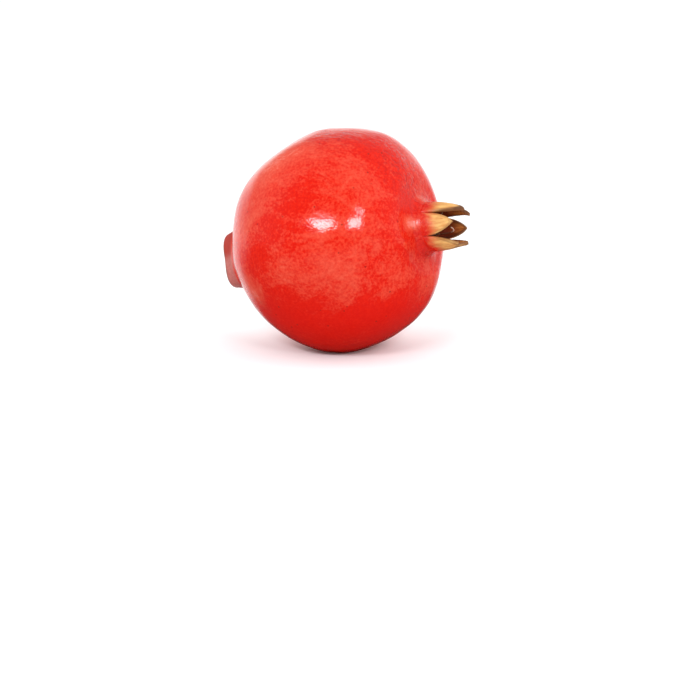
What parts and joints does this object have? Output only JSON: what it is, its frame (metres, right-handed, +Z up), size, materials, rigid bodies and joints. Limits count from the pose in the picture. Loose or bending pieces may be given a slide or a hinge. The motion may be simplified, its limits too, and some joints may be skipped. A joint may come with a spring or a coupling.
{
  "type": "pomegranate",
  "caption": "Whole fresh pomegranate lying on its side, with a leathery red rind, an open crown of pointed sepals, dried stamens and a cut stalk.",
  "frame": {"origin": "on the ground that the fruit lies on, under the middle of its box; the flat spot is 4 mm towards the stalk from there", "axes": "+Z up; +X from the stalk's end to the crown, whose end of the fruit's axis is raised by 12 degrees; the longest extent is along X"},
  "size_m": [0.1047, 0.091, 0.0885],
  "materials": {
    "rind": "glossy leathery red rind, mottled, tan to dark brown at the sepals",
    "stamens": "dry, brown, matte",
    "stem_stub": "dry, rough, matte"
  },
  "bodies": {
    "root": {"fruit": "rind", "stamens": "stamens", "stem_stub": "stem_stub"}
  },
  "joints": []
}
